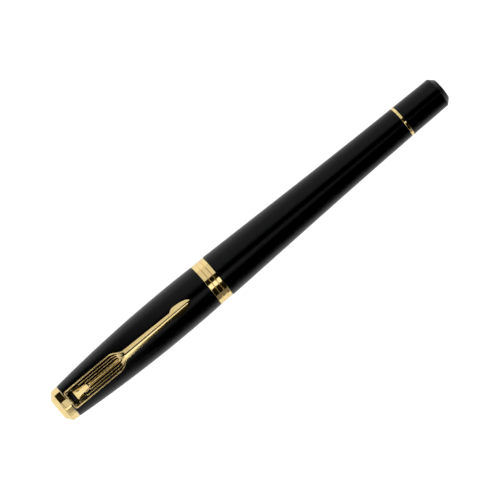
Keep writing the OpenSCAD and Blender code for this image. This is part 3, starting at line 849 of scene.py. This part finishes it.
def clip_foot():
    """The rounded foot under the pad, which touches the cap."""
    low = cap_r(FOOT_S) + 0.07
    high = clip_top(FOOT_S) - 0.3
    outline = [(0, low), (0.3, low), (0.42, low + 0.05), (0.5, low + 0.15), (0.9, high), (0, high)]
    bm = bmesh.new()
    rings = []
    for r, h in outline:
        if r == 0:
            rings.append([bm.verts.new(place(FOOT_S, 0, h))])
            continue
        rings.append([bm.verts.new(place(FOOT_S + r * math.cos(t), r * math.sin(t), h))
                      for t in (2 * math.pi * i / 32 for i in range(32))])
    for a, b in zip(rings, rings[1:]):
        add_strip(bm, a, b)
    return make_piece("foot", bm, 50)


def make_clip():
    piece = clip_plate()
    combine(piece, clip_neck(), "UNION", 50)
    combine(piece, clip_foot(), "UNION", 50)
    return settle(piece, "clip", "clip", GOLD)


# ---- section ------------------------------------------------------------------------------------

def make_snap_ring():
    inner, outer = SNAP_GROOVE_R + 0.03, radius("snap_ring")
    half_gap = 1.2 / GRIP_REAR_R
    piece = part_lathe("snap_ring_split", [
        (inner, SNAP_S, 0.05), (outer, SNAP_S, 0.13), (outer, SNAP_END_S, 0.13),
        (inner, SNAP_END_S, 0.05)], -math.pi / 2 + half_gap, 1.5 * math.pi - half_gap)
    return settle(piece, "snap_ring", "snap", STEEL)


def make_grip():
    socket_r, socket_s, throat_r = 3.05, GRIP_S + 2.1, 2.35
    tube_r = REFILL_R + FREE
    piece = lathe("grip_waisted", [
        (socket_r, GRIP_S, 0.05), (GRIP_FRONT_R - 0.04, GRIP_S, 0.03),
        *run(grip_r, GRIP_S + 0.06, GRIP_FULL_S), (GRIP_REAR_R, SNAP_S - FREE, 0.06),
        (SNAP_GROOVE_R, SNAP_S - FREE, 0.04), (SNAP_GROOVE_R, SNAP_END_S + FREE, 0.04),
        (GRIP_REAR_R, SNAP_END_S + FREE, 0.06), (GRIP_REAR_R, GRIP_END_S, 0.08),
        (COUPLING_R + FIT, GRIP_END_S, 0.05), (COUPLING_R + FIT, 46.15, 0.03),
        (tube_r, 46.15, 0.1), (tube_r, 24.1, 0.1), (throat_r, 23.4, 0.15),
        (throat_r, socket_s, 0.05), (socket_r, socket_s, 0.05)])
    return settle(piece, "grip", "section", GRIP_PLASTIC)


def make_nose_cone():
    s, end_s = front("nose_cone"), back("nose_cone")
    piece = lathe("nose_cone_turned", [
        (1.5, s, 0.15), (2.78, s, 0.2), (3.80, GRIP_S - 0.36, 0.12), (3.85, GRIP_S, 0.06),
        (3.0, GRIP_S, 0.03), (3.0, end_s, 0.1), (2.3, end_s, 0.1), (2.3, 18.3, 0.15),
        (1.5, 17.6, 0.1)])
    return settle(piece, "nose_cone", "section", GOLD)


def make_section_ring():
    inner, outer = COUPLING_R + FIT, radius("section_ring")
    s, end_s = front("section_ring"), back("section_ring")
    piece = lathe("section_ring_turned", [
        (inner, s, 0.05), (outer, s, 0.16), (outer, end_s, 0.16), (inner, end_s, 0.05)])
    return settle(piece, "section_ring", "section", GOLD)


def thread_height(s, t, start, end):
    """How much of a full thread stands at a station and an angle: a right-handed helix that
    fades in at its start and out at its end."""
    phase = (s / THREAD_PITCH - t / (2 * math.pi)) % 1
    ridge = min(max((0.38 - abs(phase - 0.5)) / 0.32, 0), 1)
    fade = min(s - start, end - s) / THREAD_PITCH
    return smooth(ridge) * smooth(fade)


def make_thread_coupling():
    s, end_s = front("thread_coupling"), back("thread_coupling")
    root_r, collar_r, collar_s = THREAD_R - THREAD_DEPTH, COUPLING_R + 0.1, 55.65

    first_s, last_s = THREAD_S - 0.1, THREAD_END_S + 0.1

    def cut(r, at, t):
        if not (first_s < at < last_s and r > root_r - 0.05):
            return r
        return root_r + THREAD_DEPTH * thread_height(at, t, first_s, last_s)

    thread = [(root_r, at, 0) for at in spread(THREAD_S - 0.05, THREAD_END_S + 0.08, 0.05)]
    piece = lathe("thread_coupling_cut", [
        (COUPLING_BORE_R, s, 0.1), (COUPLING_R, s, 0.15), (COUPLING_R, collar_s, 0.03),
        (collar_r, collar_s, 0.04), (collar_r, first_s, 0), *thread,
        (root_r, end_s - 0.3, 0), (root_r - 0.2, end_s, 0.08), (COUPLING_BORE_R, end_s, 0.1)],
        144, cut, 60)
    return settle(piece, "thread_coupling", "section", BRASS)


def make_o_ring():
    middle_s = (front("thread_o_ring") + back("thread_o_ring")) / 2
    wire = (back("thread_o_ring") - front("thread_o_ring")) / 2
    middle_r = radius("thread_o_ring") - wire
    outline = [(middle_r + wire * math.cos(a), middle_s + wire * math.sin(a), 0)
               for a in (2 * math.pi * i / 24 for i in range(24))]
    piece = lathe("thread_o_ring_round", outline, 96)
    return settle(piece, "thread_o_ring", "section", RUBBER)


# ---- refill -------------------------------------------------------------------------------------

def make_refill_tube():
    piece = lathe("refill_tube_drawn", [
        (TUBE_INSIDE_R, TUBE_S + 0.4, 0.1), (2.35, TUBE_S, 0.04), (2.72, TUBE_S, 0.12),
        (REFILL_R, TUBE_S + 0.4, 0.3), (REFILL_R, 27.6, 0.1), (REFILL_R - 0.06, 27.8, 0.1),
        (REFILL_R - 0.06, 28.0, 0.1), (REFILL_R, 28.2, 0.1), (REFILL_R, TUBE_END_S - 0.25, 0.2),
        (REFILL_R - 0.15, TUBE_END_S, 0.05), (TUBE_INSIDE_R, TUBE_END_S, 0.03)], 96)
    return settle(piece, "refill_tube", "refill", REFILL_METAL)


def make_refill_nose():
    s, inside, step_s = front("refill_nose"), TUBE_INSIDE_R - FIT, TUBE_S + 0.5
    bore_r, tip_bore_r, end_s = FEED_R + FIT, TIP_R + FIT / 2, RESERVOIR_S - 0.2
    seat_s = TIP_END_S + FIT
    piece = lathe("refill_nose_moulded", [
        (tip_bore_r, s, 0.05), (1.8, s, 0.1), (2.0, s + 0.3, 0.1), (2.0, 22.2, 0.1),
        (2.25, 22.6, 0.1), (2.25, step_s, 0.04), (inside, step_s, 0.1), (inside, end_s, 0.1),
        (bore_r, end_s, 0.05), (bore_r, seat_s, 0.05), (tip_bore_r, seat_s, 0.03)], 96)
    return settle(piece, "refill_nose", "refill", REFILL_PLASTIC)


def socket_points():
    """The round seat that holds the ball, from its rim to the ink hole."""
    r, hole_r = BALL_R + 0.02, 0.22
    start = math.acos((BALL_S - front("writing_tip")) / r)
    end = math.pi - math.asin(hole_r / r)
    return [(r * math.sin(a), BALL_S - r * math.cos(a), 0)
            for a in (mix(start, end, i / 8) for i in range(9))]


def make_writing_tip():
    s, feed_s = front("writing_tip"), front("ink_feed")
    seat = socket_points()
    rim_r = seat[0][0]
    piece = lathe("writing_tip_turned", [
        *seat, (0.22, feed_s - 0.3, 0.05), (FEED_R + FIT, feed_s - FIT, 0.05),
        (FEED_R + FIT, TIP_END_S, 0.04), (TIP_R, TIP_END_S, 0.1), (TIP_R, 16.75, 0.05),
        (TIP_R - 0.06, 16.6, 0.05), (0.55, s + 0.7, 0.4), (rim_r + 0.075, s + 0.05, 0.05),
        (rim_r + 0.03, s, 0.02)], 96)
    return settle(piece, "writing_tip", "refill", NICKEL)


def make_writing_ball():
    outline = [(BALL_R * math.sin(a), BALL_S - BALL_R * math.cos(a), 0)
               for a in (math.pi * i / 24 for i in range(25))]
    piece = lathe("writing_ball_ground", outline, 48)
    return settle(piece, "writing_ball", "ball", BALL_METAL)


def make_refill_plug():
    s, inside = front("refill_plug"), TUBE_INSIDE_R - FIT
    flange_r, flange_s, tail_r = REFILL_R - 0.15, TUBE_END_S + FIT, 1.5
    piece = lathe("refill_plug_moulded", [
        (0, s, 0), (inside, s, 0.3), (inside, flange_s, 0.03), (flange_r, flange_s, 0.05),
        (flange_r, flange_s + 0.45, 0.12), (tail_r, flange_s + 0.45, 0.1),
        (tail_r, REFILL_END_S, 0.25), (1.0, REFILL_END_S, 0.1), (0.9, REFILL_END_S - 0.35, 0.1),
        (0, REFILL_END_S - 0.35, 0)], 96)
    return settle(piece, "refill_plug", "refill", REFILL_PLASTIC)


def spring_point(t, length):
    """Station of the wire's middle at turn t: the first and last turn are closed up."""
    closed = 2 * SPRING_WIRE_R + 0.05
    middle = length - 2 * closed - 2 * SPRING_WIRE_R
    if t < 1:
        return SPRING_WIRE_R + closed * t
    if t > SPRING_TURNS - 1:
        return SPRING_WIRE_R + closed + middle + closed * (t - SPRING_TURNS + 1)
    return SPRING_WIRE_R + closed + middle * (t - 1) / (SPRING_TURNS - 2)


def make_spring():
    start, end = front("refill_spring"), back("refill_spring")
    sides, rings = 12, 32
    bm = bmesh.new()
    coil = []
    for i in range(SPRING_TURNS * rings + 1):
        t = i / rings
        s = start + spring_point(t, end - start)
        ring = []
        for k in range(sides):
            a = 2 * math.pi * k / sides
            out = SPRING_R + SPRING_WIRE_R * math.cos(a)
            turn = 2 * math.pi * t
            ring.append(bm.verts.new(place(
                s + SPRING_WIRE_R * math.sin(a), out * math.cos(turn), out * math.sin(turn))))
        coil.append(ring)
    for a, b in zip(coil, coil[1:]):
        add_strip(bm, a, b)
    bm.faces.new(coil[0])
    bm.faces.new(coil[-1])
    piece = make_piece("refill_spring_wound", bm, 60)
    piece.data.materials.append(STEEL)
    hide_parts("refill_spring")
    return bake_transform(piece)


def make_spring_seat():
    s, end_s, r = front("spring_seat"), back("spring_seat"), radius("spring_seat")
    disc_s, pin_r = end_s - 0.8, 1.35
    piece = lathe("spring_seat_moulded", [
        (0, s, 0), (pin_r, s, 0.3), (pin_r, disc_s, 0.1), (r, disc_s, 0.08), (r, end_s, 0.2),
        (0, end_s, 0)], 96)
    return settle(piece, "spring_seat", "seat", LINER_PLASTIC)


# ---- barrel -------------------------------------------------------------------------------------

def make_barrel_tube():
    outer = run(barrel_r, BARREL_S + 0.15, TAIL_RING_S - 0.04)
    inner = run(lambda s: barrel_r(s) - BARREL_WALL, TAIL_SEAT_S, BUSH_END_S + 0.3)
    piece = lathe("barrel_lacquered", [
        (BUSH_R + FIT, BARREL_S, 0.05), (barrel_r(BARREL_S) - 0.13, BARREL_S, 0.05), *outer,
        (barrel_r(TAIL_RING_S) - 0.04, TAIL_RING_S, 0), (TAIL_SPIGOT_R + FIT, TAIL_RING_S, 0.05),
        (TAIL_SPIGOT_R + FIT, TAIL_SEAT_S, 0.05), *inner,
        (BUSH_R - 0.15, BUSH_END_S + 0.1, 0), (BUSH_R + FIT, BUSH_END_S + 0.1, 0)], 192)
    return settle(piece, "barrel_tube", "barrel", BLACK)


def make_barrel_bush():
    bore_r, depth = THREAD_R + 0.08, 0.3
    first_s, last_s = BUSH_S + 0.2, THREAD_END_S + 1.2

    def cut(r, at, t):
        if not (first_s < at < last_s and r < bore_r + 0.01):
            return r
        return bore_r + depth * thread_height(at, t, first_s, last_s)

    thread = [(bore_r, at, 0) for at in spread(THREAD_END_S + 1.3, BUSH_S + 0.3, 0.05)]
    piece = lathe("barrel_bush_threaded", [
        (bore_r + 0.25, BUSH_S, 0.04), (BUSH_R, BUSH_S, 0.1), (BUSH_R, BUSH_END_S, 0.1),
        (bore_r, BUSH_END_S, 0.15), *thread, (bore_r, BUSH_S + 0.25, 0)], 144, cut, 60)
    return settle(piece, "barrel_bush", "barrel", BRASS)


def make_tail_ring():
    inner, outer = TAIL_SPIGOT_R + FIT, radius("tail_ring")
    piece = lathe("tail_ring_turned", [
        (inner, TAIL_RING_S, 0.03), (outer, TAIL_RING_S, 0.1), (outer, TAIL_S, 0.1),
        (inner, TAIL_S, 0.03)], 192)
    return settle(piece, "tail_ring", "barrel", GOLD)


def make_tail_piece():
    s, bevel_s = front("tail_piece"), PEN_L - TAIL_BEVEL
    outer = run(barrel_r, TAIL_S + 0.08, bevel_s - 0.3)
    piece = lathe("tail_piece_bevelled", [
        (TAIL_BORE_R, s, 0.1), (TAIL_SPIGOT_R, s, 0.2), (TAIL_SPIGOT_R, TAIL_S, 0.03),
        (barrel_r(TAIL_S) - 0.08, TAIL_S, 0.04), *outer, (barrel_r(bevel_s), bevel_s, 0.12),
        (TAIL_FACE_R, PEN_L, 0.2), (0, PEN_L, 0), (0, TAIL_FLOOR_S, 0),
        (TAIL_BORE_R, TAIL_FLOOR_S, 0.2)], 192)
    return settle(piece, "tail_piece", "barrel", TAIL_BLACK)


# ---- CAD nodes that stay ------------------------------------------------------------------------

def dress(node, material):
    """A CAD node that is shown as it is gets its material."""
    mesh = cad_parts[node].data
    mesh.materials.clear()
    mesh.materials.append(material)


def make_pen():
    for make in (make_crown, make_crown_screw, make_clip_ring, make_cap_shell, make_inner_cap,
                 make_cap_band, make_clip, make_snap_ring, make_grip, make_nose_cone,
                 make_section_ring, make_thread_coupling, make_o_ring, make_refill_tube,
                 make_refill_nose, make_writing_tip, make_writing_ball, make_refill_plug,
                 make_spring, make_spring_seat, make_barrel_tube, make_barrel_bush,
                 make_tail_ring, make_tail_piece):
        make()
    dress("ink_feed", FELT)
    dress("ink_reservoir", INKED_FELT)
    dress("screw_washer", STEEL)


# ---- floor, lights and camera -------------------------------------------------------------------

FLOOR_TILT = math.radians(1.48)     # the pen lies on its barrel's mouth and its tail's edge
CONTACT = Vector(place(55.75, 0, -6.42))
PEN_ANGLE = math.radians(39.909)    # the pen's rise to the right in the picture
CAMERA_DISTANCE = 1.06
VIEW_WIDTH = 0.1338                 # what the picture's width covers at the pen
FLOOR_LIGHT = 1.75                  # radiance of the light that falls on the floor alone
ROOM_LIGHT = 0.01
BACKDROP_R = 2.5
BACKDROP_LIGHT = 0.97
BLACK_LEVEL = 0.005                 # display level that is shown as black


def floor_sheet(name, half_size, rise, low, high):
    """A square sheet on the plane that the pen lies on, or a little above it."""
    bm = bmesh.new()
    normal = Vector((-math.sin(FLOOR_TILT), 0, math.cos(FLOOR_TILT)))
    along = Vector((math.cos(FLOOR_TILT), 0, math.sin(FLOOR_TILT)))
    across = normal.cross(along)
    corners = [CONTACT + (along * a + across * b) * half_size + normal * rise
               for a, b in ((-1, -1), (1, -1), (1, 1), (-1, 1))]
    bm.faces.new([bm.verts.new(c) for c in corners])
    sheet = make_piece(name, bm)
    m = Nodes(name + "_paper")
    m.colours(m.noise((40, 40, 40)), (low, low, low), (high, high, high))
    m.roughness(m.noise((400, 400, 400)), 0.85, 0.95)
    m.bump(m.noise((2500, 2500, 2500)), 0.05, 0.01)
    sheet.data.materials.append(m.material)
    return sheet


def only_in_reflections(piece):
    piece.visible_camera = False
    piece.visible_diffuse = False
    piece.visible_shadow = False


def make_card(name, low_corner, high_corner, painted_reflection_tone):
    """An upright card seen only in reflections, between two corners on its diagonal. Its tone is
    painted reflection: a dark card paints shade into the pen's reflections, and a pale one paints
    a highlight.
    """
    (x0, y0, z0), (x1, y1, z1) = low_corner, high_corner
    bm = bmesh.new()
    corners = ((x0, y0, z0), (x1, y1, z0), (x1, y1, z1), (x0, y0, z1))
    bm.faces.new([bm.verts.new(c) for c in corners])
    card = make_piece(name, bm)
    m = Nodes(name + "_painted_reflection")
    m.colours(m.noise((300, 300, 300)), (painted_reflection_tone * 0.9,) * 3, (painted_reflection_tone * 1.1,) * 3)
    m.roughness(m.noise((300, 300, 300)), 0.8, 0.9)
    card.data.materials.append(m.material)
    only_in_reflections(card)


def soft_light(name, radiance, low, high, distance, length=1.6, middle_x=0, twist=0):
    """A softbox that fills the angles from low to high, measured from overhead towards +Y, as
    seen from the pen. Its light doesn't change with its distance. It runs along the pen, or is
    twisted from that by an angle."""
    middle = math.radians((low + high) / 2)
    width = 2 * distance * math.tan(math.radians(abs(high - low) / 2))
    data = bpy.data.lights.new(name, "AREA")
    data.shape = "RECTANGLE"
    data.size, data.size_y = length, width
    data.energy = radiance * math.pi * length * width
    lamp = bpy.data.objects.new(name, data)
    spot = Vector((middle_x, math.sin(middle) * distance, math.cos(middle) * distance))
    turn = Matrix.Rotation(-middle, 4, "X") @ Matrix.Rotation(math.radians(twist), 4, "Z")
    lamp.matrix_world = Matrix.Translation(spot) @ turn
    lamp.visible_camera = False
    bpy.context.scene.collection.objects.link(lamp)
    return lamp


def make_floor_light(sheets):
    """A plain overhead light for the floor alone, so that the paper is white up to the pen."""
    only_floor = bpy.data.collections.new("only_floor")
    for sheet in sheets:
        only_floor.objects.link(sheet)
    lamp = soft_light("floor_light", FLOOR_LIGHT, -60, 60, 1.5, 6.0)
    lamp.visible_glossy = False
    lamp.light_linking.receiver_collection = only_floor
    lamp.light_linking.blocker_collection = only_floor


def make_backdrop():
    """A pale dome far behind everything, which only the camera sees."""
    bm = bmesh.new()
    bmesh.ops.create_uvsphere(bm, u_segments=64, v_segments=32, radius=BACKDROP_R)
    dome = make_piece("backdrop", bm)
    m = Nodes("backdrop_paper")
    m.colours(m.noise((3, 3, 3)), (0.86, 0.86, 0.86), (0.88, 0.88, 0.88))
    m.roughness(m.noise((3, 3, 3)), 0.85, 0.95)
    glow = m.ranged(m.noise((2, 2, 2)), BACKDROP_LIGHT - 0.01, BACKDROP_LIGHT + 0.01)
    m.link(glow, m.shader.inputs["Emission Strength"])
    m.shader.inputs["Emission Color"].default_value = (1, 1, 1, 1)
    dome.data.materials.append(m.material)
    dome.visible_diffuse = False
    dome.visible_glossy = False
    dome.visible_transmission = False
    dome.visible_shadow = False


def make_surroundings():
    floor = floor_sheet("floor", 3.0, -0.00001, 0.86, 0.88)
    # A greyer copy of the floor, seen only in reflections: its darker tone is painted shade, the
    # floor's shadow near the pen as the pen reflects it, while the camera sees the white floor.
    shaded_floor_reflection_sheet = floor_sheet("shaded_floor_reflection", 0.6, 0.00004, 0.53, 0.55)
    only_in_reflections(shaded_floor_reflection_sheet)
    make_floor_light((floor, shaded_floor_reflection_sheet))
    # Cards seen only in reflections, with painted tones: the right card and the tail card paint
    # dark reflections, shade in the pen's surroundings, and the pale end card paints a bright
    # reflection on the clip's neck and the crown.
    make_card("right_painted_shade_card", (-0.045, -0.042, 0), (0.3, -0.042, 0.024), 0.25)
    make_card("end_painted_highlight_card", (-0.2, -0.08, 0), (-0.2, 0.08, 0.09), 0.8)
    make_card("tail_painted_shade_card", (0.125, -0.12, 0), (0.125, 0.12, 0.05), 0.005)
    make_backdrop()


def make_lights():
    soft_light("softbox_side", 0.76, 22, 94, 0.6, 0.88, 0.37)
    soft_light("softbox_end", 1.0, 18, -88, 0.6, 0.46, -0.36)
    soft_light("strip", 1.3, -13, -28, 0.67, 0.40, -0.02, 51)
    world = bpy.data.worlds.new("room")
    world.use_nodes = True
    world.node_tree.nodes["Background"].inputs["Color"].default_value = (1, 1, 1, 1)
    world.node_tree.nodes["Background"].inputs["Strength"].default_value = ROOM_LIGHT
    bpy.context.scene.world = world


def make_camera():
    target = Vector(place(66.67, -0.17, 0))
    location = Vector((-0.066, 0.035, 0))
    drop = math.sqrt(CAMERA_DISTANCE ** 2 - (target - location).xy.length ** 2)
    location.z = AXIS_Z + drop
    back_axis = (location - target).normalized()
    along = (Vector((1, 0, 0)) - back_axis * back_axis.x).normalized()
    across = back_axis.cross(along)
    right = along * math.cos(PEN_ANGLE) - across * math.sin(PEN_ANGLE)
    up = along * math.sin(PEN_ANGLE) + across * math.cos(PEN_ANGLE)
    data = bpy.data.cameras.new("camera")
    data.sensor_width = 36
    data.lens = 36 * CAMERA_DISTANCE / VIEW_WIDTH
    data.clip_start, data.clip_end = 0.01, 10
    camera = bpy.data.objects.new("camera", data)
    camera.matrix_world = Matrix((right, up, back_axis)).transposed().to_4x4()
    camera.location = location
    bpy.context.scene.collection.objects.link(camera)
    bpy.context.scene.camera = camera


def set_tones():
    """Plain display tones, with the deepest blacks closed up a little."""
    view = bpy.context.scene.view_settings
    view.view_transform = "Standard"
    view.use_curve_mapping = True
    view.curve_mapping.black_level = (BLACK_LEVEL, BLACK_LEVEL, BLACK_LEVEL)
    view.curve_mapping.update()


make_pen()
make_surroundings()
make_lights()
make_camera()
set_tones()
